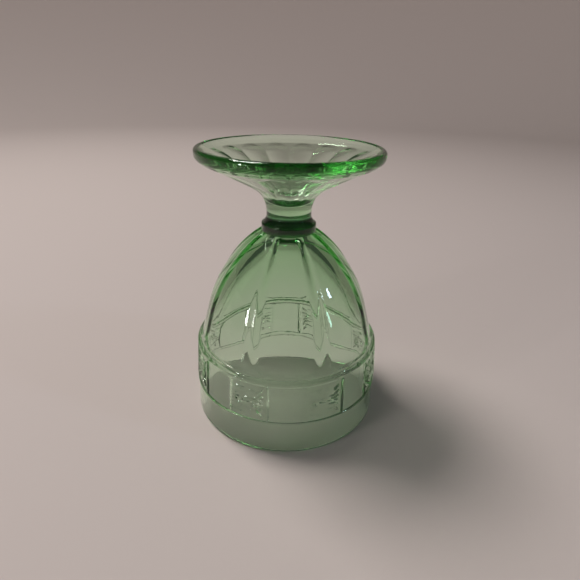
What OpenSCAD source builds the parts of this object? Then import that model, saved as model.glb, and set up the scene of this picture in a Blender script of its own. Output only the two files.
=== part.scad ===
// Footed pressed-glass tumbler, standing upside down on its drinking rim.
// +Z runs up the axis of the glass: rim on z = 0, standing ring of the foot on top.

/* [Bowl] */
// Outer diameter of the drinking rim
rim_d = 91.8; // [84:0.2:112]
// Height of the bowl, from the rim to the collar
bowl_h = 90.5; // [85:0.5:110]
// Thickness of the bowl's wall at its lip and at the foot of the dome
wall = 2.8; // [2:0.1:3.6]
// Width of the flat that the rim rests on
rim_flat_w = 0.6; // [0.4:0.1:1]
// Thickness of the glass between the inside of the bowl and the collar
bowl_bottom_t = 6.5; // [5:0.5:9]
// Height of the plain lip strip, from the rim to the middle of the lower bead
lip_h = 15.7; // [10:0.1:19]

/* [Decorated band] */
// Outer diameter of the band at its lower bead
band_d = 90; // [82:0.2:96]
// Outer diameter of the band at its upper bead
band_top_d = 87.6; // [82:0.2:90]
// Height of the band, from the middle of one bead to the middle of the other
band_h = 20.4; // [18:0.1:25]
// Width of the rounded bead above and below the band
bead_w = 2.6; // [2:0.1:3.4]
// How far each bead stands out of the band
bead_out = 0.4; // [0.4:0.05:0.8]
// Width of the upright ridge between two blocks
divider_w = 1; // [0.6:0.1:1.6]
// How far the dividers and the star rays stand out of the band
relief = 0.3; // [0.2:0.05:0.35]
// Angle that a patterned block takes up, in degrees
star_block_deg = 23.6; // [20:0.2:27]
// Overall size of the star in a patterned block
star_d = 15; // [10:0.5:17]
// Width of one ray of the star
ray_w = 1; // [0.6:0.1:1.6]

/* [Dome] */
// How far the foot of the dome stands back from the band
shoulder_in = 1.3; // [0.8:0.1:2]
// Height of the straight part of the dome above the band
dome_straight_h = 16.5; // [8:0.5:20]
// Slope of the straight part of the dome, in degrees from upright
dome_taper = 15; // [8:0.5:20]
// How much more the inside of the dome leans in than its outside, in degrees
inner_lean = 10; // [6:0.5:11]
// How wide the round bottom of the inside is, as a share of the widest that fits
inner_cap_share = 0.6; // [0.4:0.05:0.8]
// Width of the rib between two panels
rib_w = 3.4; // [2:0.1:5]
// How far the ribs stand out of the panels
rib_out = 0.7; // [0.3:0.1:1.2]
// Height of the plain shoulder between the band and the panels
shoulder_h = 2; // [1.5:0.1:5]
// Radius of the panels' lower corners
panel_corner_r = 6; // [2:0.5:7]

/* [Collar and stem] */
// Outer diameter of the collar
collar_d = 24.8; // [22:0.2:32]
// Height of the collar
collar_h = 3.9; // [3:0.1:6]
// Radius that rounds both edges of the collar
collar_edge_r = 0.6; // [0.3:0.1:1.4]
// Diameter of the narrow neck of the stem
neck_d = 20.2; // [16:0.2:22]
// Height of the stem, from the collar to the foot
stem_h = 7.1; // [6.8:0.1:9]
// Height of the bevel between the collar and the neck
bevel_h = 2.6; // [1.5:0.1:3.5]
// Height of the neck's straight part, below the flare
neck_straight_h = 2; // [1:0.1:3]

/* [Foot] */
// Outer diameter of the foot
foot_d = 80.4; // [66:0.2:98]
// Height of the foot, from the stem to the standing ring
foot_h = 25.5; // [21:0.5:31]
// Slope of the underside of the foot, in degrees from level
foot_slope = 27; // [20:0.5:34]
// Thickness of the rounded edge of the foot
foot_edge_h = 5.2; // [4.2:0.1:7]
// Radius that rounds the outer corner beside the standing ring
foot_lip_r = 1.4; // [0.8:0.1:2]
// Width of the flat ring that the foot stands on
standing_ring_w = 1; // [0.6:0.1:2]
// Thickness of the glass between the flare and the dish
foot_t = 3.6; // [2.8:0.1:4.6]
// Thickness of the glass between the bottom of the dish and the stem
dish_floor_t = 1.8; // [1:0.1:4]
// Width of the ridge between two flutes of the foot
flute_ridge_w = 1; // [0.6:0.1:1.6]
// How far the flute ridges stand out
flute_ridge_out = 0.4; // [0.2:0.1:0.8]

/* [Hidden] */
$fn = 96;
glass_color = [0.36, 0.72, 0.38, 0.75];
knop_color = [0.05, 0.28, 0.12, 0.95];

panels = 8;
panel_deg = 360 / panels;
star_rays = 8;
flutes = 16;
arc_steps = 16;
bar_past = 1;
eps = 0.01;

collar_r = collar_d / 2;
joint_r = collar_r - collar_edge_r;
neck_r = neck_d / 2;

// Outline of the outside of the bowl, as radii at heights.
lip_r = (wall - rim_flat_w) / 2;
rim_r = rim_d / 2;
band_r = band_d / 2;
band_top_r = band_top_d / 2;
band_z0 = lip_h;
band_z1 = lip_h + band_h;
dome_z0 = band_z1 + bead_w / 2;
dome_r0 = band_top_r - shoulder_in;
dome_z1 = dome_z0 + dome_straight_h;
dome_r1 = dome_r0 - dome_straight_h * tan(dome_taper);

// The rounded part of the dome is the one arc that leaves the straight part
// smoothly and ends on the joint with the collar.
dome_dx = joint_r - dome_r1;
dome_dz = bowl_h - dome_z1;
dome_arc_r = (dome_dx * dome_dx + dome_dz * dome_dz)
    / (-2 * (dome_dx * cos(dome_taper) + dome_dz * sin(dome_taper)));
dome_cx = dome_r1 - dome_arc_r * cos(dome_taper);
dome_cz = dome_z1 - dome_arc_r * sin(dome_taper);

// The inside of the dome leans in more, so that the wall thickens towards the
// collar: a straight part, a round cap at the bottom, and the one arc that runs
// smoothly into both.
inner_taper = dome_taper + inner_lean;
inner_r0 = dome_r0 - wall;
inner_r1 = inner_r0 - dome_straight_h * tan(inner_taper);
inner_apex_z = bowl_h - bowl_bottom_t;
inner_rise = inner_apex_z - dome_z1;
cap_r = inner_cap_share
    * (inner_r1 * cos(inner_taper) - inner_rise * sin(inner_taper)) / (1 - sin(inner_taper));
cap_cz = inner_apex_z - cap_r;
cap_dz = dome_z1 - cap_cz;
inner_arc_r = (inner_r1 * inner_r1 + cap_dz * cap_dz - cap_r * cap_r)
    / (2 * (inner_r1 * cos(inner_taper) + cap_dz * sin(inner_taper) - cap_r));
inner_cx = inner_r1 - inner_arc_r * cos(inner_taper);
inner_cz = dome_z1 - inner_arc_r * sin(inner_taper);
cap_start = atan2(cap_cz - inner_cz, -inner_cx);

// Heights of the pieces above the bowl.
collar_z = bowl_h;
stem_z = collar_z + collar_h;
foot_z = stem_z + stem_h;
top_z = foot_z + foot_h;

foot_r = foot_d / 2;

// Edge of the foot: a round below, and a smaller round beside the standing ring.
foot_edge_r = foot_edge_h / 2;
edge_cx = foot_r - foot_edge_r;
edge_cz = top_z - foot_edge_r;
ring_r = foot_r - foot_lip_r;
dish_r = ring_r - standing_ring_w;

// The flare is one arc that leaves the neck upright and runs into the sloping
// underside of the foot, which ends on the edge round.
flare_px = edge_cx + foot_edge_r * sin(foot_slope);
flare_pz = edge_cz - foot_edge_r * cos(foot_slope);
flare_cz = stem_z + bevel_h + neck_straight_h;
flare_r = ((flare_pz - flare_cz) * cos(foot_slope) - (flare_px - neck_r) * sin(foot_slope))
    / (1 - sin(foot_slope));
flare_cx = neck_r + flare_r;
flare_cut = 180 - asin((foot_z - flare_cz) / flare_r);

// The dish follows the flare at the foot's thickness, runs straight out to the
// standing ring, and is closed by a round bottom.
dish_arc_r = flare_r + foot_t;
dish_z = foot_z + dish_floor_t;
dish_f = dish_z - flare_cz;
dish_cap_r = (flare_cx * flare_cx + dish_f * dish_f - dish_arc_r * dish_arc_r)
    / (2 * (dish_arc_r - dish_f));
dish_cap_cz = dish_z + dish_cap_r;
dish_cap_end = atan2(flare_cz - dish_cap_cz, flare_cx);
dish_d = norm([dish_r - flare_cx, top_z - flare_cz]);
dish_arc_end = atan2(top_z - flare_cz, dish_r - flare_cx) + acos(dish_arc_r / dish_d);

// Points on an arc about [cx, cz], from angle a0 to angle a1.
function arc(cx, cz, r, a0, a1, steps = arc_steps) =
    [for (i = [0 : steps]) let (a = a0 + (a1 - a0) * i / steps) [cx + r * cos(a), cz + r * sin(a)]];

// Outside of the lip: round at the rim, then straight up to the lower bead.
function lip_outline() = concat(
    arc(rim_r - lip_r, lip_r, lip_r, -90, 0, 6),
    [[band_r, band_z0]]);

// Outside of the dome, moved outwards by out, from the band to the collar.
function dome_outline(out) = concat(
    [[dome_r0 + out, dome_z0]],
    arc(dome_cx, dome_cz, dome_arc_r + out, dome_taper,
        asin((bowl_h - dome_cz) / (dome_arc_r + out))));

// The points of an outline in the opposite order.
function reversed(points) = [for (i = [len(points) - 1 : -1 : 0]) points[i]];

// Inside of the bowl, from the axis at the bottom of the bowl to the rim.
function inner_outline() = concat(
    arc(0, cap_cz, cap_r, 90, cap_start, 8),
    arc(inner_cx, inner_cz, inner_arc_r, cap_start, inner_taper, 6),
    [[inner_r0, dome_z0],
     [band_r - wall, band_z0]],
    arc(rim_r - wall + lip_r, lip_r, lip_r, -180, -90, 6));

// Radius of the panels at a height on the dome.
function dome_radius(z) = z < dome_z1
    ? dome_r0 - (z - dome_z0) * tan(dome_taper)
    : dome_cx + sqrt(dome_arc_r * dome_arc_r - (z - dome_cz) * (z - dome_cz));

// Half width of a panel at a height, seen from the front.
function panel_half_w(z) = dome_radius(z) * sin(panel_deg / 2) - rib_w / 2;

// One full ring bead of the band, where the band's radius is r.
module bead(r, z) {
    bead_r = bead_w / 2;
    rotate_extrude()
        translate([r + bead_out - bead_r, z])
            circle(r = bead_r, $fn = 24);
}

// The bowl without its relief.
module bowl_body() {
    rotate_extrude()
        polygon(concat(
            lip_outline(),
            [[band_top_r, band_z1]],
            dome_outline(0),
            [[0, bowl_h]],
            inner_outline()));
    bead(band_r, band_z0);
    bead(band_top_r, band_z1);
}

// Everything between the panels and the tops of the ribs. It starts inside the
// upper bead.
module rib_shell() {
    rotate_extrude()
        polygon(concat(
            [[dome_r0 + rib_out, band_z1]],
            dome_outline(rib_out),
            reversed(dome_outline(-wall / 2)),
            [[dome_r0 - wall / 2, band_z1]]));
}

// Outline of one panel from the front, with rounded lower corners.
module panel_outline() {
    z0 = dome_z0 + shoulder_h;
    z_end = bowl_h + rib_out + 1;
    side = [for (i = [0 : arc_steps])
        let (z = z0 + panel_corner_r + (bowl_h - eps - z0 - panel_corner_r) * i / arc_steps)
        [panel_half_w(z), z]];
    corner_w = panel_half_w(z0 + panel_corner_r) - panel_corner_r;
    last_w = panel_half_w(bowl_h - eps);
    polygon(concat(
        arc(corner_w, z0 + panel_corner_r, panel_corner_r, -90, 0, 5),
        side,
        [[last_w, z_end], [-last_w, z_end]],
        [for (point = reversed(side)) [-point[0], point[1]]],
        arc(-corner_w, z0 + panel_corner_r, panel_corner_r, 180, 270, 5)));
}

// The ribs and the shoulder: the shell with one opening for each panel.
module ribs() {
    difference() {
        rib_shell();
        for (i = [0 : panels - 1])
            rotate([0, 0, i * panel_deg])
                rotate([90, 0, 0])
                    linear_extrude(height = rim_d)
                        panel_outline();
    }
}

// A thin shell over the band, which the relief is cut from.
module band_shell() {
    rotate_extrude()
        polygon([
            [band_r - wall / 2, band_z0],
            [band_r + relief, band_z0],
            [band_top_r + relief, band_z1],
            [band_top_r - wall / 2, band_z1]]);
}

// An upright bar that reaches right through the band's shell in front.
module front_bar(w, z0, h) {
    bar_out = band_r + relief + bar_past;
    bar_in = band_top_r - wall / 2 - bar_past;
    translate([-w / 2, -bar_out, z0])
        cube([w, bar_out - bar_in, h]);
}

// The star in the middle of a patterned block: crossed bars round a centre.
module star() {
    star_z = (band_z0 + band_z1) / 2;
    for (k = [0 : star_rays / 2 - 1])
        translate([0, 0, star_z])
            rotate([0, k * 360 / star_rays, 0])
                front_bar(ray_w, -star_d / 2, star_d);
}

// Dividers on both sides of every patterned block, and the stars in them.
module band_relief() {
    intersection() {
        band_shell();
        for (i = [0 : panels - 1])
            rotate([0, 0, (i + 0.5) * panel_deg]) {
                star();
                for (side = [-1, 1])
                    rotate([0, 0, side * star_block_deg / 2])
                        front_bar(divider_w, band_z0, band_h);
            }
    }
}

// Bowl: lip, decorated band between two beads, panelled dome.
module bowl() {
    color(glass_color) {
        bowl_body();
        ribs();
        band_relief();
    }
}

// Collar: a thick ring with rounded edges.
module collar() {
    color(knop_color)
        translate([0, 0, collar_z])
            rotate_extrude()
                polygon(concat(
                    [[0, 0]],
                    arc(joint_r, collar_edge_r, collar_edge_r, -90, 0, 4),
                    arc(joint_r, collar_h - collar_edge_r, collar_edge_r, 0, 90, 4),
                    [[0, collar_h]]));
}

// Stem: the solid neck, from its bevel on the collar to the start of the flare.
module stem() {
    color(glass_color)
        rotate_extrude()
            polygon(concat(
                [[0, stem_z],
                 [joint_r, stem_z],
                 [neck_r, stem_z + bevel_h]],
                arc(flare_cx, flare_cz, flare_r, 180, flare_cut, 6),
                [[0, foot_z]]));
}

// Underside of the foot, from the stem to the edge, moved outwards by out.
function flare_outline(out) = concat(
    arc(flare_cx, flare_cz, flare_r - out, flare_cut, 90 + foot_slope, 10),
    [[flare_px + out * sin(foot_slope), flare_pz - out * cos(foot_slope)]]);

// The foot without its ridges: flare, rounded edge, standing ring and dish.
module foot_body() {
    rotate_extrude()
        polygon(concat(
            [[0, foot_z]],
            flare_outline(0),
            arc(edge_cx, edge_cz, foot_edge_r, foot_slope - 90, 0, 8),
            arc(ring_r, top_z - foot_lip_r, foot_lip_r, 0, 90, 6),
            [[dish_r, top_z]],
            arc(flare_cx, flare_cz, dish_arc_r, dish_arc_end, 180 + dish_cap_end, 8),
            arc(0, dish_cap_cz, dish_cap_r, dish_cap_end, -90, 8)));
}

// Ridges between the flutes, running out from the stem under the foot.
module flute_ridges() {
    intersection() {
        rotate_extrude()
            polygon(concat(
                flare_outline(flute_ridge_out),
                reversed(flare_outline(-foot_t / 3))));
        for (i = [0 : flutes - 1])
            rotate([0, 0, i * 360 / flutes])
                translate([0, -flute_ridge_w / 2, foot_z])
                    cube([foot_r - foot_edge_h, flute_ridge_w, foot_h]);
    }
}

// Foot: flared disc with a hollow dish on its standing side.
module foot() {
    color(glass_color) {
        foot_body();
        flute_ridges();
    }
}

bowl();
collar();
stem();
foot();
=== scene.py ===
"""Footed pressed-glass tumbler, standing upside down on its drinking rim.

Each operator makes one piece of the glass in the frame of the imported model, or
the stage round it. All lengths are in metres.
"""

import math

import bpy
from mathutils import Matrix, Vector


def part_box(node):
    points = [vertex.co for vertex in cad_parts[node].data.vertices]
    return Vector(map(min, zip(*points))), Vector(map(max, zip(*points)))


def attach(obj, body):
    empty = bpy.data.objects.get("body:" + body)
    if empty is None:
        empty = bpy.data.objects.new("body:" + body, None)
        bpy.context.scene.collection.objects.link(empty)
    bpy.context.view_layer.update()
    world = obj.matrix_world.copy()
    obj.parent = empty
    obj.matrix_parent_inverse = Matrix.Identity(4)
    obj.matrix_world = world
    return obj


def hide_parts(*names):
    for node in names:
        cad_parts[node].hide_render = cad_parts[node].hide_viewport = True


bl_info = {
    "name": "Footed tumbler",
    "version": (1, 0, 0),
    "blender": (4, 5, 0),
    "location": "3D View > Sidebar > Tumbler",
    "description": "Makes a footed pressed-glass tumbler, turned over on its rim, and its stage",
    "category": "Object",
}

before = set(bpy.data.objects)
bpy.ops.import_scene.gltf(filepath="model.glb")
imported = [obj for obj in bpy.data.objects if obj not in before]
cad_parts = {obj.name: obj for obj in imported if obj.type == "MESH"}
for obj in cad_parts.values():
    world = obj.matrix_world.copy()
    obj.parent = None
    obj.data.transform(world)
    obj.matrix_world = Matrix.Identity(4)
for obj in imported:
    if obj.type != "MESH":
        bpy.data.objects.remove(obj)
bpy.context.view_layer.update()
BOWL_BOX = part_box("bowl")
COLLAR_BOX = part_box("collar")
STEM_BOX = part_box("stem")
FOOT_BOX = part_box("foot")

MM = 0.001
# Half of the gap that parts the joint faces of two pieces.
JOINT_GAP = 0.02 * MM
# Panels, ribs and patterned blocks round the bowl, and flutes round the foot.
BLOCKS = 8
FLUTES = 16
# Radius that rounds the edges of the collar. The dome and the stem meet it inside that edge.
COLLAR_EDGE = 0.6 * MM
# The points of the bowl stand in close columns over this angle round the middle of each block.
BLOCK_ARC = math.radians(26.4)
BLOCK_COLUMNS = 60
# Columns between the middle of a rib and its edge.
RIB_COLUMNS = 6
# The outline has close points over this height at the foot of the dome, for the panels' corners.
CLOSE_POINTS = 9.2 * MM
# The ribs have their full width over this height above the band.
FULL_RIB = 8 * MM
# Half of the width of the dividers beside a block.
DIVIDER_HALF = 0.7 * MM
# The flutes begin at the first radius and have their full depth at the second.
FLUTE_START = 11.0 * MM
FLUTE_FULL = 17.0 * MM
# Points nearer than this are one point.
MERGE = 0.004 * MM


# Sizes and colours ---------------------------------------------------------


def length(name, description, default):
    """A size in metres for a property group."""
    return bpy.props.FloatProperty(
        name=name,
        description=description,
        default=default,
        min=0.0,
        precision=5,
        unit="LENGTH",
        subtype="DISTANCE",
    )


def colour(name, description, default):
    """A colour for a property group."""
    return bpy.props.FloatVectorProperty(
        name=name, description=description, default=default, size=3, min=0.0, max=1.0, subtype="COLOR"
    )


class BowlSizes(bpy.types.PropertyGroup):
    """Sizes of the bowl."""

    rim_radius: length("Rim radius", "Outer radius of the drinking rim", BOWL_BOX[1][0])
    height: length("Height", "Height of the bowl, from the rim to the collar", BOWL_BOX[1][2])
    wall: length("Wall", "Thickness of the wall", 2.8 * MM)
    rim_flat: length("Rim flat", "Width of the flat that the rim rests on", 0.6 * MM)
    bottom: length("Bottom", "Thickness of the glass between the inside and the collar", 6.5 * MM)
    lip: length("Lip", "Height of the plain lip, to the middle of the lower bead", 15.7 * MM)
    band_low: length("Lower band radius", "Outer radius of the band at its lower bead", 45.0 * MM)
    band_top: length("Upper band radius", "Outer radius of the band at its upper bead", 43.8 * MM)
    band: length("Band height", "From the middle of one bead to the middle of the other", 20.4 * MM)
    bead: length("Bead width", "Width of the round beads above and below the band", 2.6 * MM)
    bead_out: length("Bead stand-out", "How far the beads stand out of the band", 0.7 * MM)
    shoulder_in: length("Shoulder", "How far the dome stands back from the band", 1.3 * MM)
    dome_straight: length("Straight dome", "Height of the straight part of the dome", 16.5 * MM)
    shoulder: length("Panel foot", "Height of the plain shoulder below the panels", 2.0 * MM)
    rib_foot: length("Rib foot width", "Half width of a rib at the band", 2.1 * MM)
    rib_head: length("Rib head width", "Half width of a rib at the collar", 1.3 * MM)
    rib_out: length("Rib stand-out", "How far the ribs stand out of the panels", 0.8 * MM)
    corner: length("Panel corner", "Radius of the lower corners of a panel", 6.5 * MM)
    relief: length("Relief", "How far the dividers and the bursts stand out of the band", 0.95 * MM)
    burst: length("Burst", "Half of the side of the square that a burst fills", 7.6 * MM)
    dome_taper: bpy.props.FloatProperty(
        name="Dome slope",
        description="Slope of the straight part of the dome, from upright",
        default=math.radians(15.0),
        subtype="ANGLE",
    )
    inner_lean: bpy.props.FloatProperty(
        name="Inner lean",
        description="How much more the inside of the dome leans in than its outside",
        default=math.radians(10.0),
        subtype="ANGLE",
    )
    cap_share: bpy.props.FloatProperty(
        name="Inner round",
        description="Width of the round bottom of the inside, as a share of the widest that fits",
        default=0.6,
    )
    divider: bpy.props.FloatProperty(
        name="Divider angle",
        description="Angle from the middle of a patterned block to its divider",
        default=math.radians(11.8),
        subtype="ANGLE",
    )


class CollarSizes(bpy.types.PropertyGroup):
    """Sizes of the collar and of the neck above it."""

    radius: length("Collar radius", "Outer radius of the collar", COLLAR_BOX[1][0])
    edge: length("Collar edge", "Radius that rounds the edges of the collar", COLLAR_EDGE)
    bevel: length("Bevel", "Height of the bevel between the collar and the neck", 2.6 * MM)
    neck_radius: length("Neck radius", "Radius of the narrow neck", 10.1 * MM)
    neck_straight: length("Straight neck", "Height of the straight part of the neck", 2.0 * MM)


class FootSizes(bpy.types.PropertyGroup):
    """Sizes of the foot."""

    radius: length("Foot radius", "Outer radius of the foot", FOOT_BOX[1][0])
    edge: length("Edge", "Thickness of the rounded edge", 5.2 * MM)
    lip: length("Lip round", "Radius beside the standing ring", 1.4 * MM)
    ring: length("Standing ring", "Width of the ring that the foot stands on", 1.0 * MM)
    thickness: length("Thickness", "Thickness between the flare and the dish", 3.6 * MM)
    dish_floor: length("Dish floor", "Thickness between the dish and the stem", 1.8 * MM)
    flute_depth: length("Flute depth", "Depth of a flute below its ridges", 0.4 * MM)
    flute_end: length("Flute end", "Radius at which the flutes end", 37.4 * MM)
    slope: bpy.props.FloatProperty(
        name="Slope",
        description="Slope of the underside of the foot, from level",
        default=math.radians(27.0),
        subtype="ANGLE",
    )


class Finishes(bpy.types.PropertyGroup):
    """Colours of the glass and of the stage."""

    green: colour("Green", "Colour that the green glass lets through", (0.20, 0.79, 0.18))
    green_depth: bpy.props.FloatProperty(
        name="Green depth", description="How quickly the green glass darkens with thickness", default=40.0
    )
    # The deep green and its depth are far darker than the green of the rest of the glass: besides the
    # collar's thickness, they paint shade into it.
    deep: colour("Deep green", "Colour that the collar lets through", (0.05, 0.42, 0.14))
    deep_depth: bpy.props.FloatProperty(
        name="Deep green depth", description="How quickly the collar darkens with thickness", default=420.0
    )
    floor: colour("Floor", "Colour of the floor", (0.60, 0.53, 0.505))
    backdrop: colour("Backdrop", "Colour of the light round the stage", (0.60, 0.56, 0.54))


# Outlines -------------------------------------------------------------------


def arc(cx, cz, radius, start, end, steps):
    """Points on an arc about (cx, cz), from one angle to another."""
    angles = [start + (end - start) * i / steps for i in range(steps + 1)]
    return [(cx + radius * math.cos(angle), cz + radius * math.sin(angle)) for angle in angles]


def line(a, b, steps):
    """Points on the line from a to b, without a."""
    across, up = b[0] - a[0], b[1] - a[1]
    return [(a[0] + across * i / steps, a[1] + up * i / steps) for i in range(1, steps + 1)]


def joined(*runs):
    """One outline out of several runs of points, without the points that repeat."""
    outline = []
    for run in runs:
        for point in run:
            if not outline or math.dist(point, outline[-1]) > 1e-7:
                outline.append(point)
    return outline


def band_radius(s, z):
    """Radius of the band at a height."""
    return s.band_low + (s.band_top - s.band_low) * (z - s.lip) / s.band


def dome_arc(s):
    """Centre and radius of the dome's arc, foot of the dome, start of the arc, radius of the joint."""
    z0 = s.lip + s.band + s.bead / 2
    r0 = s.band_top - s.shoulder_in
    z1 = z0 + s.dome_straight
    r1 = r0 - s.dome_straight * math.tan(s.dome_taper)
    joint = COLLAR_BOX[1][0] - COLLAR_EDGE
    dx, dz = joint - r1, s.height - z1
    across, up = math.cos(s.dome_taper), math.sin(s.dome_taper)
    radius = (dx * dx + dz * dz) / (-2 * (dx * across + dz * up))
    return r1 - radius * across, z1 - radius * up, radius, z0, r0, z1, joint


def dome_radius(s, z):
    """Radius of the panels at a height."""
    cx, cz, radius, z0, r0, z1, _ = dome_arc(s)
    if z < z1:
        return r0 - (z - z0) * math.tan(s.dome_taper)
    return cx + math.sqrt(max(radius * radius - (z - cz) ** 2, 0.0))


def bead_run(s, middle, steps):
    """Outline of one bead, from above to below."""
    radius = s.bead / 2
    cx = band_radius(s, middle) + s.bead_out - radius
    foot = math.acos(1 - s.bead_out / radius)
    top = math.pi / 2 if middle > s.lip + s.band / 2 else foot
    return arc(cx, middle, radius, top, -foot, steps)


def inner_run(s, rim, z0, r0, z1):
    """Inside of the bowl from the rim to its round cap, and the cap's (radius, centre height, start)."""
    lean = s.dome_taper + s.inner_lean
    low, knee = (s.band_low - s.wall, s.lip), (r0 - s.wall, z0)
    r1 = knee[0] - (z1 - z0) * math.tan(lean)
    apex = s.height - s.bottom
    cap_r = s.cap_share * (r1 * math.cos(lean) - (apex - z1) * math.sin(lean)) / (1 - math.sin(lean))
    cap_cz = apex - cap_r
    dz = z1 - cap_cz
    reach = r1 * math.cos(lean) + dz * math.sin(lean) - cap_r
    inner_r = (r1 * r1 + dz * dz - cap_r * cap_r) / (2 * reach)
    cx, cz = r1 - inner_r * math.cos(lean), z1 - inner_r * math.sin(lean)
    start = math.atan2(cap_cz - cz, -cx)
    # The knee between the band and the dome is eased over these shares of its two sides.
    below, above = 0.35, 0.45
    before = (knee[0] + (low[0] - knee[0]) * below, knee[1] + (low[1] - knee[1]) * below)
    after = (knee[0] + (r1 - knee[0]) * above, knee[1] + (z1 - knee[1]) * above)
    eased = [
        tuple((1 - t) ** 2 * before[i] + 2 * t * (1 - t) * knee[i] + t * t * after[i] for i in (0, 1))
        for t in [n / 6 for n in range(1, 7)]
    ]
    run = line(rim, low, 2) + line(low, before, 2) + eased + [(r1, z1)]
    run += arc(cx, cz, inner_r, lean, start, 6)
    return run, (cap_r, cap_cz, start)


def bowl_outline(s):
    """Outline of the bowl: joint, dome, beads, lip, rim, inside."""
    cx, cz, radius, z0, r0, z1, joint = dome_arc(s)
    top = s.height - JOINT_GAP
    start = math.asin((s.height - cz) / radius)
    face = [(0.0, top)] + line((0.0, top), (joint, top), 3)
    dome = arc(cx, cz, radius, start, s.dome_taper, 26)[1:]
    low = z0 + CLOSE_POINTS
    straight = line((dome_radius(s, z1), z1), (dome_radius(s, low), low), 5)
    foot = line((dome_radius(s, low), low), (r0, z0), 24)
    upper = bead_run(s, s.lip + s.band, 9)
    lower = bead_run(s, s.lip, 9)
    band = line(upper[-1], lower[0], 46)
    round_r = (s.wall - s.rim_flat) / 2
    lip = line(lower[-1], (s.rim_radius, round_r), 6)
    rim = arc(s.rim_radius - round_r, round_r, round_r, 0, -math.pi / 2, 5)
    rim_in = arc(s.rim_radius - s.wall + round_r, round_r, round_r, -math.pi / 2, -math.pi, 5)
    inside, apex = inner_run(s, rim_in[-1], z0, r0, z1)
    cap = arc(0.0, apex[1], apex[0], apex[2], math.pi / 2, 15)
    cap[-1] = (0.0, s.height - s.bottom)
    return joined(face, dome, straight, foot, upper, band, lower, lip, rim, rim_in, inside, cap)


def collar_outline(c):
    """Outline of the collar: lower joint, upright side with rounded edges, upper joint."""
    z0, z1 = COLLAR_BOX[0][2] + JOINT_GAP, COLLAR_BOX[1][2] - JOINT_GAP
    r, e = c.radius, c.edge
    low = [(0.0, z0)] + line((0.0, z0), (r - e, z0), 3)
    side = arc(r - e, z0 + e, e, -math.pi / 2, 0, 6)
    top = arc(r - e, z1 - e, e, 0, math.pi / 2, 6)
    return joined(low, side, line(side[-1], top[0], 4), top, line((r - e, z1), (0.0, z1), 3))


def flare_arc(c, f):
    """Centre and radius of the flare, end of the slope, centre and radius of the rounded edge."""
    top = FOOT_BOX[1][2]
    edge_r = f.edge / 2
    ecx, ecz = f.radius - edge_r, top - edge_r
    px = ecx + edge_r * math.sin(f.slope)
    pz = ecz - edge_r * math.cos(f.slope)
    cz = STEM_BOX[0][2] + c.bevel + c.neck_straight
    # How far the top of the straight neck is from the line of the slope.
    away = (pz - cz) * math.cos(f.slope) - (px - c.neck_radius) * math.sin(f.slope)
    radius = away / (1 - math.sin(f.slope))
    return c.neck_radius + radius, cz, radius, px, pz, ecx, ecz, edge_r


def stem_outline(c, f):
    """Outline of the stem: lower joint, bevel, straight neck, flare, upper joint."""
    cx, cz, radius = flare_arc(c, f)[:3]
    z0, z1 = STEM_BOX[0][2] + JOINT_GAP, STEM_BOX[1][2] - JOINT_GAP
    base = c.radius - c.edge
    low = [(0.0, z0)] + line((0.0, z0), (base, z0), 3)
    # The bevel leaves the collar steeply, eases into the upright neck and ends a little way up it.
    ease, rise = 1.6, c.bevel + 0.5 * MM
    bevel = [
        (c.neck_radius + (base - c.neck_radius) * (1 - t) ** ease, z0 + rise * t)
        for t in [n / 9 for n in range(1, 10)]
    ]
    neck = bevel + line(bevel[-1], (c.neck_radius, cz), 3)
    flare = arc(cx, cz, radius, math.pi, math.pi - math.asin((z1 - cz) / radius), 10)
    return joined(low, neck, flare, line(flare[-1], (0.0, z1), 3))


def foot_outline(c, f):
    """Outline of the foot: joint, flare, slope, edge, standing ring, dish."""
    cx, cz, radius, px, pz, ecx, ecz, edge_r = flare_arc(c, f)
    z0, top = FOOT_BOX[0][2] + JOINT_GAP, FOOT_BOX[1][2]
    cut = math.pi - math.asin((z0 - cz) / radius)
    flare = arc(cx, cz, radius, cut, math.pi / 2 + f.slope, 16)
    low = [(0.0, z0)] + line((0.0, z0), flare[0], 3)
    slope = line(flare[-1], (px, pz), 36)
    edge = arc(ecx, ecz, edge_r, f.slope - math.pi / 2, 0, 10)
    ring_r = f.radius - f.lip
    lip = arc(ring_r, top - f.lip, f.lip, 0, math.pi / 2, 7)
    dish_r = ring_r - f.ring
    arc_r = radius + f.thickness
    dish_z = STEM_BOX[1][2] + f.dish_floor
    d = dish_z - cz
    cap_r = (cx * cx + d * d - arc_r * arc_r) / (2 * (arc_r - d))
    cap_cz = dish_z + cap_r
    cap_end = math.atan2(cz - cap_cz, cx)
    reach = math.hypot(dish_r - cx, top - cz)
    arc_end = math.atan2(top - cz, dish_r - cx) + math.acos(arc_r / reach)
    dish = arc(cx, cz, arc_r, arc_end, math.pi + cap_end, 18)
    cap = arc(0.0, cap_cz, cap_r, cap_end, -math.pi / 2, 12)
    cap[-1] = (0.0, dish_z)
    ring_end = (dish_r, top)
    return joined(low, flare, slope, edge, lip, [ring_end], line(ring_end, dish[0], 12), dish, cap)


# Building -------------------------------------------------------------------


def clear_selection():
    """Nothing is selected and nothing is in edit mode."""
    if bpy.context.object and bpy.context.object.mode != "OBJECT":
        bpy.ops.object.mode_set(mode="OBJECT")
    bpy.ops.object.select_all(action="DESELECT")


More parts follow.
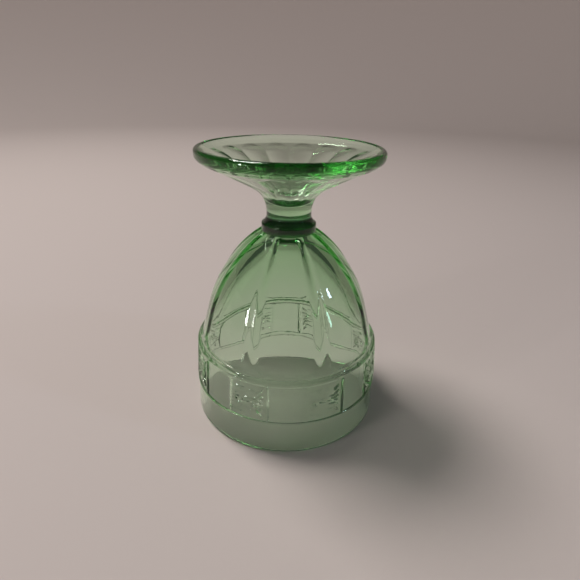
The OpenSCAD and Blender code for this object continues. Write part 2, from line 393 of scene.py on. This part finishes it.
def turned_piece(name, outline, sectors):
    """A closed piece: its outline is drawn point by point and spun in sectors of (angle, steps)."""
    clear_selection()
    bpy.ops.mesh.primitive_plane_add(size=MM, location=(0, 0, 0))
    piece = bpy.context.object
    piece.name = piece.data.name = name
    bpy.ops.object.mode_set(mode="EDIT")
    bpy.ops.mesh.select_all(action="SELECT")
    bpy.ops.mesh.merge(type="CENTER")
    bpy.ops.transform.translate(value=(0, -outline[0][0], outline[0][1]))
    for a, b in zip(outline, outline[1:]):
        step = (0, a[0] - b[0], b[1] - a[1])
        bpy.ops.mesh.extrude_region_move(TRANSFORM_OT_translate={"value": step})
    bpy.ops.mesh.select_all(action="SELECT")
    for angle, steps in sectors:
        bpy.ops.mesh.spin(
            steps=steps, angle=angle, center=(0, 0, 0), axis=(0, 0, 1), use_auto_merge=False
        )
    bpy.ops.mesh.select_all(action="SELECT")
    bpy.ops.mesh.remove_doubles(threshold=MERGE)
    bpy.ops.mesh.normals_make_consistent(inside=False)
    bpy.ops.object.mode_set(mode="OBJECT")
    return piece


def mark_joints(piece, heights):
    """Marks the level faces at the joint heights, so that the glass is unbroken there."""
    joint = piece.data.attributes.new("joint", "FLOAT", "FACE")
    near = 0.1 * MM
    for face in piece.data.polygons:
        at_joint = any(abs(face.center.z - z) < near for z in heights)
        level = abs(face.normal.z) > 0.999
        joint.data[face.index].value = 1.0 if level and at_joint else 0.0


def raise_relief(piece, height_at, most, outside):
    """Moves the points where outside(radius, z) is true out by height_at(azimuth, radius, z)."""
    group = piece.vertex_groups.new(name="relief")
    for vertex in piece.data.vertices:
        x, y, z = vertex.co
        r = math.hypot(x, y)
        if not outside(r, z):
            continue
        height = height_at(math.atan2(x, -y), r, z)
        if height > 0.0:
            group.add([vertex.index], height / most, "REPLACE")
    relief = piece.modifiers.new("Relief", "DISPLACE")
    relief.direction = "NORMAL"
    relief.mid_level = 0.0
    relief.strength = most
    relief.vertex_group = "relief"
    bpy.ops.object.modifier_apply(modifier=relief.name)
    piece.vertex_groups.clear()


def finish_piece(piece, node, finish, joints, angle=math.radians(38)):
    """Smooths a piece, gives it its glass and puts it in the place of its CAD node."""
    mark_joints(piece, joints)
    clear_selection()
    piece.select_set(True)
    bpy.context.view_layer.objects.active = piece
    bpy.ops.object.shade_smooth_by_angle(angle=angle)
    piece.data.materials.clear()
    piece.data.materials.append(finish)
    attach(piece, "root")
    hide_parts(node)
    clear_selection()


def smooth_step(low, high, value):
    """0 below low, 1 above high, and smooth between them."""
    t = min(max((value - low) / (high - low), 0.0), 1.0)
    return t * t * (3 - 2 * t)


def around(azimuth, count):
    """Angle from the middle of the sector that an azimuth is in, where count sectors go round."""
    turn = 2 * math.pi / count
    return azimuth % turn - turn / 2


# Relief ----------------------------------------------------------------------


def rib_half_width(s, z):
    """Half width of a rib at a height."""
    z0 = s.lip + s.band + FULL_RIB
    t = min(max((z - z0) / (s.height - z0), 0.0), 1.0)
    return s.rib_foot + (s.rib_head - s.rib_foot) * t


def dome_relief(s, azimuth, z):
    """Height of the ribs and of the shoulder above the panels."""
    radius = dome_radius(s, z)
    across = radius * math.sin(abs(around(azimuth, BLOCKS)))
    width = rib_half_width(s, z)
    side = across - width
    z0 = s.lip + s.band + s.bead / 2 + s.shoulder
    foot = z - z0
    # Distance into the panel, negative outside it, with rounded lower corners. The columns of
    # points do not follow a corner, so the step is wider there.
    if side < s.corner and foot < s.corner:
        inside = s.corner - math.hypot(s.corner - side, s.corner - foot)
        ease = 0.55 * MM
    else:
        inside = min(side, foot)
        ease = 0.34 * MM
    # Most of a rib's height is a level step, and the rest is a round crown that begins at its foot.
    level, crown = 0.75 * s.rib_out, 0.3 * s.rib_out
    height = level * (1 - smooth_step(-ease, 0.0, inside))
    if across < width and foot > -1 * MM:
        height += crown * (1 - (across / width) ** 2) * smooth_step(-1 * MM, 3 * MM, foot)
    fade = 1 - smooth_step(s.height - 1.2 * MM, s.height - 0.2 * MM, z)
    return height * fade


def burst_height(s, u, v):
    """Height of the burst of rays in a patterned block, from 0 to 1, at u across and v up."""
    r = math.hypot(u, v)
    phi = math.atan2(v, u)
    edge = s.burst / max(abs(math.cos(phi)), abs(math.sin(phi)), 1e-6)
    knob = 0.9 * MM
    best = max(1 - (r / knob) ** 2, 0.0)
    # Both rings of rays: count, angle of the first ray, inner end, outer end, half width.
    rings = (
        (10, 0.0, 1.0 * MM, 4.0 * MM, 0.60 * MM),
        (20, math.pi / 20, 3.6 * MM, edge - 0.2 * MM, 0.78 * MM),
    )
    for count, first, low, high, width in rings:
        if not low < r < high:
            continue
        away = abs(around(phi - first + math.pi / count, count)) * r
        t = (r - low) / (high - low)
        # A ray is a long leaf, widest below its middle, with both ends eased.
        half = width * math.sin(math.pi * min(t + 0.12, 1.0)) ** 0.6 + 1e-9
        if away < half:
            ends = smooth_step(0, 0.15, t) * (1 - smooth_step(0.85, 1.0, t))
            best = max(best, (1 - (away / half) ** 2) * ends)
    return best


def band_relief(s, azimuth, r, z):
    """Height of the dividers and the bursts above the band."""
    across = r * around(azimuth, BLOCKS)
    from_divider = abs(abs(across) - r * s.divider)
    height = s.relief * max(1 - (from_divider / DIVIDER_HALF) ** 2, 0.0)
    up = z - s.lip - s.band / 2
    if abs(across) < s.burst and abs(up) < s.burst:
        height = max(height, s.relief * burst_height(s, across, up))
    return height


def flute_relief(f, azimuth, r):
    """Height of the foot's surface above the bottom of its flutes."""
    offset = around(azimuth, FLUTES)
    across = r * math.sin(abs(offset))
    along = r * math.cos(offset)
    spread = math.sin(math.pi / FLUTES)
    half = r * spread
    # The outer end of a flute is a half circle between the two ridges.
    cap_r = f.flute_end * spread / (1 + spread)
    cap_c = f.flute_end - cap_r
    if along > cap_c:
        u = math.hypot(across, along - cap_c) / cap_r
    else:
        u = across / half
    # The power rounds the floor of a flute, and its ridges fade just beyond its end.
    power, fade_over = 2.2, 1.6 * MM
    depth = f.flute_depth * smooth_step(FLUTE_START, FLUTE_FULL, r)
    fade = 1 - smooth_step(f.flute_end, f.flute_end + fade_over, r)
    return depth * min(u, 1.0) ** power * fade


# Finishes ---------------------------------------------------------------------


def wire(tree, source, output, target, input_name):
    """Links an output to an input by their names."""
    tree.links.new(source.outputs[output], target.inputs[input_name])


def pressed_surface():
    """Node group for the skin of pressed glass: slow waves, fine ripple, worn edges, faint marks."""
    group = bpy.data.node_groups.get("Pressed surface")
    if group:
        return group
    group = bpy.data.node_groups.new("Pressed surface", "ShaderNodeTree")
    face = group.interface
    for label, value in (
        ("Wave size", 70.0),
        ("Ripple size", 420.0),
        ("Ripple", 0.12),
        ("Polish", 0.012),
        ("Marks", 0.05),
        ("Wear", 0.25),
    ):
        face.new_socket(name=label, in_out="INPUT", socket_type="NodeSocketFloat").default_value = value
    for label in ("Height", "Roughness", "Tint"):
        face.new_socket(name=label, in_out="OUTPUT", socket_type="NodeSocketFloat")
    n = group.nodes
    entry, leave = n.new("NodeGroupInput"), n.new("NodeGroupOutput")
    place = n.new("ShaderNodeTexCoord")
    wave = n.new("ShaderNodeTexNoise")
    wave.inputs["Detail"].default_value = 1.5
    ripple = n.new("ShaderNodeTexNoise")
    ripple.inputs["Detail"].default_value = 3.0
    for texture, label in ((wave, "Wave size"), (ripple, "Ripple size")):
        wire(group, place, "Object", texture, "Vector")
        wire(group, entry, label, texture, "Scale")
    mix = n.new("ShaderNodeMath")
    mix.operation = "MULTIPLY_ADD"
    wire(group, ripple, "Fac", mix, 0)
    wire(group, entry, "Ripple", mix, 1)
    wire(group, wave, "Fac", mix, 2)
    wire(group, mix, "Value", leave, "Height")
    # Fine wiping marks: noise drawn out along the height.
    stretch = n.new("ShaderNodeMapping")
    stretch.inputs["Scale"].default_value = (900.0, 900.0, 160.0)
    wire(group, place, "Object", stretch, "Vector")
    marks = n.new("ShaderNodeTexNoise")
    marks.inputs["Scale"].default_value = 1.0
    marks.inputs["Detail"].default_value = 4.0
    wire(group, stretch, "Vector", marks, "Vector")
    sharpen = n.new("ShaderNodeMapRange")
    sharpen.inputs["From Min"].default_value = 0.56
    sharpen.inputs["From Max"].default_value = 0.78
    wire(group, marks, "Fac", sharpen, "Value")
    patches = n.new("ShaderNodeMath")
    patches.operation = "MULTIPLY"
    wire(group, sharpen, "Result", patches, 0)
    wire(group, wave, "Fac", patches, 1)
    marked = n.new("ShaderNodeMath")
    marked.operation = "MULTIPLY_ADD"
    wire(group, patches, "Value", marked, 0)
    wire(group, entry, "Marks", marked, 1)
    wire(group, entry, "Polish", marked, 2)
    # Wear where the glass has stood: on its rim and on its standing ring.
    split = n.new("ShaderNodeSeparateXYZ")
    wire(group, place, "Object", split, "Vector")
    worn = []
    top = FOOT_BOX[1][2]
    for low, high in ((0.45 * MM, 0.0), (top - 0.4 * MM, top)):
        edge = n.new("ShaderNodeMapRange")
        edge.inputs["From Min"].default_value = low
        edge.inputs["From Max"].default_value = high
        wire(group, split, "Z", edge, "Value")
        worn.append(edge)
    either = n.new("ShaderNodeMath")
    either.operation = "MAXIMUM"
    wire(group, worn[0], "Result", either, 0)
    wire(group, worn[1], "Result", either, 1)
    broken = n.new("ShaderNodeMath")
    broken.operation = "MULTIPLY"
    wire(group, either, "Value", broken, 0)
    wire(group, ripple, "Fac", broken, 1)
    total = n.new("ShaderNodeMath")
    total.operation = "MULTIPLY_ADD"
    wire(group, broken, "Value", total, 0)
    wire(group, entry, "Wear", total, 1)
    wire(group, marked, "Value", total, 2)
    wire(group, total, "Value", leave, "Roughness")
    wire(group, wave, "Fac", leave, "Tint")
    return group


def glass_finish(name, pale, rich, through, depth, wave, polish, shine):
    """Coloured glass: smooth skin, colour that deepens with thickness, unbroken at the joints."""
    material = bpy.data.materials.new(name)
    material.use_nodes = True
    tree = material.node_tree
    n = tree.nodes
    shader = n["Principled BSDF"]
    shader.inputs["Metallic"].default_value = 0.0
    shader.inputs["Transmission Weight"].default_value = 1.0
    shader.inputs["Specular IOR Level"].default_value = shine
    skin = n.new("ShaderNodeGroup")
    skin.node_tree = pressed_surface()
    skin.inputs["Wave size"].default_value = wave
    skin.inputs["Polish"].default_value = polish
    tint = n.new("ShaderNodeMix")
    tint.data_type = "RGBA"
    tint.inputs["A"].default_value = (*pale, 1.0)
    tint.inputs["B"].default_value = (*rich, 1.0)
    tree.links.new(skin.outputs["Tint"], tint.inputs["Factor"])
    tree.links.new(tint.outputs["Result"], shader.inputs["Base Color"])
    wire(tree, skin, "Roughness", shader, "Roughness")
    bump = n.new("ShaderNodeBump")
    bump.inputs["Strength"].default_value = 0.6
    bump.inputs["Distance"].default_value = 0.00016
    wire(tree, skin, "Height", bump, "Height")
    wire(tree, bump, "Normal", shader, "Normal")
    joint = n.new("ShaderNodeAttribute")
    joint.attribute_name = "joint"
    bend = n.new("ShaderNodeMapRange")
    bend.inputs["To Min"].default_value = 1.52
    bend.inputs["To Max"].default_value = 1.0
    wire(tree, joint, "Fac", bend, "Value")
    wire(tree, bend, "Result", shader, "IOR")
    inside = n.new("ShaderNodeVolumeAbsorption")
    inside.inputs["Color"].default_value = (*through, 1.0)
    inside.inputs["Density"].default_value = depth
    wire(tree, inside, "Volume", n["Material Output"], "Volume")
    return material


def green_glass(look):
    """The green glass of the bowl, the stem and the foot."""
    made = bpy.data.materials.get("Green pressed glass")
    return made or glass_finish(
        "Green pressed glass",
        pale=(0.985, 1.0, 0.985),
        rich=(0.93, 0.985, 0.935),
        through=look.green,
        depth=look.green_depth,
        wave=75.0,
        polish=0.008,
        shine=0.5,
    )


def collar_glass_painted_shade(look):
    """The nearly black green of the thick collar: a far darker glass than the rest, whose colour is partly
    painted shade.
    """
    made = bpy.data.materials.get("Deep green glass with painted shade")
    return made or glass_finish(
        "Deep green glass with painted shade",
        # The darker base colours are painted shade on every face of the collar.
        pale=(0.80, 0.95, 0.86),
        rich=(0.62, 0.85, 0.70),
        through=look.deep,
        depth=look.deep_depth,
        wave=160.0,
        polish=0.015,
        shine=0.12,
    )


def floor_finish(look):
    """Plain matt floor with a faint grain."""
    material = bpy.data.materials.new("Pale floor")
    material.use_nodes = True
    tree = material.node_tree
    n = tree.nodes
    shader = n["Principled BSDF"]
    shader.inputs["Specular IOR Level"].default_value = 0.25
    place = n.new("ShaderNodeTexCoord")
    grain = n.new("ShaderNodeTexNoise")
    grain.inputs["Scale"].default_value = 240.0
    grain.inputs["Detail"].default_value = 4.0
    wire(tree, place, "Object", grain, "Vector")
    shade = n.new("ShaderNodeMix")
    shade.data_type = "RGBA"
    shade.inputs["A"].default_value = (*[c * 0.985 for c in look.floor], 1.0)
    shade.inputs["B"].default_value = (*look.floor, 1.0)
    tree.links.new(grain.outputs["Fac"], shade.inputs["Factor"])
    tree.links.new(shade.outputs["Result"], shader.inputs["Base Color"])
    rough = n.new("ShaderNodeMapRange")
    rough.inputs["To Min"].default_value = 0.72
    rough.inputs["To Max"].default_value = 0.84
    wire(tree, grain, "Fac", rough, "Value")
    wire(tree, rough, "Result", shader, "Roughness")
    return material


# Operators ---------------------------------------------------------------------


class TUMBLER_OT_bowl(bpy.types.Operator):
    """Make the bowl: lip, patterned band between two beads, panelled dome"""

    bl_idname = "tumbler.bowl"
    bl_label = "Bowl"
    bl_options = {"REGISTER", "UNDO"}

    def execute(self, context):
        s = context.scene.tumbler_bowl
        outline = bowl_outline(s)
        plain_arc = 2 * math.pi / BLOCKS - BLOCK_ARC
        sectors = [(BLOCK_ARC, BLOCK_COLUMNS), (plain_arc, 10)] * BLOCKS
        piece = turned_piece("bowl_pressed", outline, sectors)
        # The outline is spun from the front. This turn puts the close columns round the blocks.
        self.settle_columns(piece, s, plain_arc / 2)
        z_dome = s.lip + s.band + s.bead / 2 - 0.01 * MM

        # Only the dome and the band between the beads rise, and the inside stays as it is.
        def outside(r, z):
            if z < s.lip or z > s.height - 0.05 * MM:
                return False
            if z > z_dome:
                return r > dome_radius(s, z) - 0.2 * MM
            between_beads = s.lip + s.bead / 2 < z < s.lip + s.band - s.bead / 2
            return between_beads and abs(r - band_radius(s, z)) < 0.3 * MM

        def height_at(azimuth, r, z):
            if z > z_dome:
                return dome_relief(s, azimuth, z)
            return band_relief(s, azimuth, r, z)

        bpy.context.view_layer.objects.active = piece
        raise_relief(piece, height_at, most=1.2 * MM, outside=outside)
        glass = green_glass(context.scene.tumbler_finishes)
        finish_piece(piece, "bowl", glass, [s.height], math.radians(42))
        return {"FINISHED"}

    @staticmethod
    def settle_columns(piece, s, start):
        """Turns the columns of points round the axis, so that one stays on each edge of a rib."""
        z_dome = s.lip + s.band + s.bead / 2 - 0.01 * MM
        half = math.pi / BLOCKS
        edge_at = RIB_COLUMNS * BLOCK_ARC / BLOCK_COLUMNS
        for vertex in piece.data.vertices:
            x, y, z = vertex.co
            r = math.hypot(x, y)
            azimuth = math.atan2(x, -y) + start
            if z > z_dome and r > 1e-5:
                offset = around(azimuth, BLOCKS)
                radius = dome_radius(s, min(z, s.height))
                edge = math.asin(min(rib_half_width(s, z) / radius, 0.9))
                if abs(offset) < edge_at:
                    moved = offset * edge / edge_at
                else:
                    share = (abs(offset) - edge_at) / (half - edge_at)
                    moved = math.copysign(edge + share * (half - edge), offset)
                azimuth += moved - offset
            vertex.co = (r * math.sin(azimuth), -r * math.cos(azimuth), z)


class TUMBLER_OT_collar(bpy.types.Operator):
    """Make the collar between the bowl and the neck, in a glass darkened with painted shade"""

    bl_idname = "tumbler.collar"
    bl_label = "Collar"
    bl_options = {"REGISTER", "UNDO"}

    def execute(self, context):
        outline = collar_outline(context.scene.tumbler_collar)
        piece = turned_piece("collar_ring", outline, [(math.pi / 2, 32)] * 4)
        glass = collar_glass_painted_shade(context.scene.tumbler_finishes)
        joints = [COLLAR_BOX[0][2], COLLAR_BOX[1][2]]
        finish_piece(piece, "collar", glass, joints)
        return {"FINISHED"}


class TUMBLER_OT_stem(bpy.types.Operator):
    """Make the solid neck between the collar and the foot"""

    bl_idname = "tumbler.stem"
    bl_label = "Stem"
    bl_options = {"REGISTER", "UNDO"}

    def execute(self, context):
        scene = context.scene
        outline = stem_outline(scene.tumbler_collar, scene.tumbler_foot)
        piece = turned_piece("stem_neck", outline, [(math.pi / 2, 32)] * 4)
        glass = green_glass(scene.tumbler_finishes)
        finish_piece(piece, "stem", glass, [STEM_BOX[0][2], STEM_BOX[1][2]])
        return {"FINISHED"}


class TUMBLER_OT_foot(bpy.types.Operator):
    """Make the flared foot with its flutes, rounded edge and dish"""

    bl_idname = "tumbler.foot"
    bl_label = "Foot"
    bl_options = {"REGISTER", "UNDO"}

    def execute(self, context):
        scene = context.scene
        c, f = scene.tumbler_collar, scene.tumbler_foot
        outline = foot_outline(c, f)
        piece = turned_piece("foot_fluted", outline, [(2 * math.pi / FLUTES, 24)] * FLUTES)
        cx, cz, radius = flare_arc(c, f)[:3]
        flare_end = math.pi / 2 + f.slope
        end_r, end_z = cx + radius * math.cos(flare_end), cz + radius * math.sin(flare_end)

        # Only the underside rises, and the dish above it stays as it is.
        def outside(r, z):
            if r < FLUTE_START or r > f.radius - 1.0 * MM:
                return False
            if r < end_r:
                surface = cz + math.sqrt(max(radius**2 - (r - cx) ** 2, 0.0))
            else:
                surface = end_z + (r - end_r) * math.tan(f.slope)
            return z < surface + 1.0 * MM

        def height_at(azimuth, r, z):
            return flute_relief(f, azimuth, r)

        bpy.context.view_layer.objects.active = piece
        raise_relief(piece, height_at, most=1.0 * MM, outside=outside)
        glass = green_glass(scene.tumbler_finishes)
        finish_piece(piece, "foot", glass, [FOOT_BOX[0][2]])
        return {"FINISHED"}


class TUMBLER_OT_stage(bpy.types.Operator):
    """Make the floor, the lights and the camera"""

    bl_idname = "tumbler.stage"
    bl_label = "Stage"
    bl_options = {"REGISTER", "UNDO"}

    def execute(self, context):
        scene = context.scene
        look = scene.tumbler_finishes
        clear_selection()
        self.floor(look)
        self.surround(scene, look)
        # Each light: name, place, width and height in metres, power in watts, colour.
        for name, place, size, power, tint in (
            ("key_softbox", (-0.62, 0.42, 1.50), (0.55, 0.55), 20.0, (1.0, 0.955, 0.92)),
            ("window", (0.90, -0.29, 0.48), (0.06, 0.14), 0.8, (0.62, 0.80, 1.0)),
            ("tall_strip", (-0.660, -0.430, 0.190), (0.028, 0.20), 0.9, (1.0, 1.0, 1.0)),
            ("thin_strip", (-0.600, -0.520, 0.170), (0.014, 0.20), 0.5, (1.0, 1.0, 1.0)),
        ):
            self.softbox(name, place, size, power, tint)
        self.camera(scene)
        scene.view_settings.view_transform = "Standard"
        # Light turns back many times inside thick glass before it leaves.
        scene.cycles.max_bounces = 32
        scene.cycles.transmission_bounces = 32
        scene.cycles.glossy_bounces = 12
        return {"FINISHED"}

    @staticmethod
    def floor(look):
        """A round floor that sweeps up into a low wall all round."""
        level, sweep, top = 1.3, 0.5, 0.6
        outline = [(0.0, 0.0)] + line((0.0, 0.0), (level, 0.0), 6)[:-1]
        outline += arc(level, sweep, sweep, -math.pi / 2, 0, 12) + [(level + sweep, top)]
        # The floor lies just under the rim, so that the two never share a surface.
        lowered = [(r, z - 0.2 * MM) for r, z in outline]
        floor = turned_piece("floor", lowered, [(math.pi / 2, 24)] * 4)
        bpy.ops.object.shade_smooth()
        floor.data.materials.append(floor_finish(look))

    @staticmethod
    def surround(scene, look):
        """Dim even light from overhead, above the wall."""
        world = bpy.data.worlds.new("Studio")
        scene.world = world
        world.use_nodes = True
        shade = world.node_tree.nodes["Background"]
        shade.inputs["Color"].default_value = (*look.backdrop, 1.0)
        shade.inputs["Strength"].default_value = 0.10

    @staticmethod
    def softbox(name, place, size, power, tint):
        """A rectangular area light that faces the glass."""
        bpy.ops.object.light_add(type="AREA", location=place)
        lamp = bpy.context.object
        lamp.name = lamp.data.name = name
        lamp.data.shape = "RECTANGLE"
        lamp.data.size, lamp.data.size_y = size
        lamp.data.energy = power
        lamp.data.color = tint
        lamp.visible_camera = False
        aim = Vector((0.0, 0.0, 0.06)) - Vector(place)
        lamp.rotation_euler = aim.to_track_quat("-Z", "Y").to_euler()

    @staticmethod
    def camera(scene):
        """The camera: a little above the foot, looking down at the glass."""
        bpy.ops.object.camera_add()
        camera = bpy.context.object
        camera.name = "camera"
        camera.data.sensor_width = 36.0
        camera.data.lens = 27.08
        camera.data.clip_start, camera.data.clip_end = 0.01, 50.0
        # How far the camera looks down and to the side, how far it leans, and its turn round the glass.
        pitch, yaw, roll = math.radians(26.48), math.radians(0.37), math.radians(1.27)
        round_glass = math.radians(-0.6)
        level = math.cos(pitch)
        ahead = Vector((math.sin(yaw) * level, math.cos(yaw) * level, -math.sin(pitch)))
        right = Vector((math.cos(yaw), -math.sin(yaw), 0.0))
        up = right.cross(ahead)
        across = math.cos(roll) * right + math.sin(roll) * up
        upward = -math.sin(roll) * right + math.cos(roll) * up
        pose = Matrix((across, upward, -ahead)).transposed().to_4x4()
        pose.translation = Vector((0.0, -0.1904, 0.1545))
        camera.matrix_world = Matrix.Rotation(round_glass, 4, "Z") @ pose
        scene.camera = camera


class TUMBLER_PT_parts(bpy.types.Panel):
    """The pieces of the tumbler, with their sizes and colours"""

    bl_idname = "TUMBLER_PT_parts"
    bl_label = "Footed tumbler"
    bl_space_type = "VIEW_3D"
    bl_region_type = "UI"
    bl_category = "Tumbler"

    def draw(self, context):
        layout = self.layout
        scene = context.scene
        for title, settings, operators in (
            ("Bowl", scene.tumbler_bowl, (TUMBLER_OT_bowl,)),
            ("Collar and neck", scene.tumbler_collar, (TUMBLER_OT_collar, TUMBLER_OT_stem)),
            ("Foot", scene.tumbler_foot, (TUMBLER_OT_foot,)),
            ("Finishes and stage", scene.tumbler_finishes, (TUMBLER_OT_stage,)),
        ):
            box = layout.box()
            box.label(text=title)
            for key in settings.bl_rna.properties.keys():
                if key not in {"rna_type", "name"}:
                    box.prop(settings, key)
            for operator in operators:
                box.operator(operator.bl_idname)


CLASSES = (
    BowlSizes,
    CollarSizes,
    FootSizes,
    Finishes,
    TUMBLER_OT_bowl,
    TUMBLER_OT_collar,
    TUMBLER_OT_stem,
    TUMBLER_OT_foot,
    TUMBLER_OT_stage,
    TUMBLER_PT_parts,
)


def register():
    """Adds the classes and the settings that the scene keeps."""
    for cls in CLASSES:
        bpy.utils.register_class(cls)
    bpy.types.Scene.tumbler_bowl = bpy.props.PointerProperty(type=BowlSizes)
    bpy.types.Scene.tumbler_collar = bpy.props.PointerProperty(type=CollarSizes)
    bpy.types.Scene.tumbler_foot = bpy.props.PointerProperty(type=FootSizes)
    bpy.types.Scene.tumbler_finishes = bpy.props.PointerProperty(type=Finishes)


def unregister():
    """Takes the settings and the classes away again."""
    for key in ("tumbler_bowl", "tumbler_collar", "tumbler_foot", "tumbler_finishes"):
        delattr(bpy.types.Scene, key)
    for cls in reversed(CLASSES):
        bpy.utils.unregister_class(cls)


def main():
    """Makes the glass and its stage."""
    register()
    bpy.ops.tumbler.bowl()
    bpy.ops.tumbler.collar()
    bpy.ops.tumbler.stem()
    bpy.ops.tumbler.foot()
    bpy.ops.tumbler.stage()


if __name__ == "__main__":
    main()
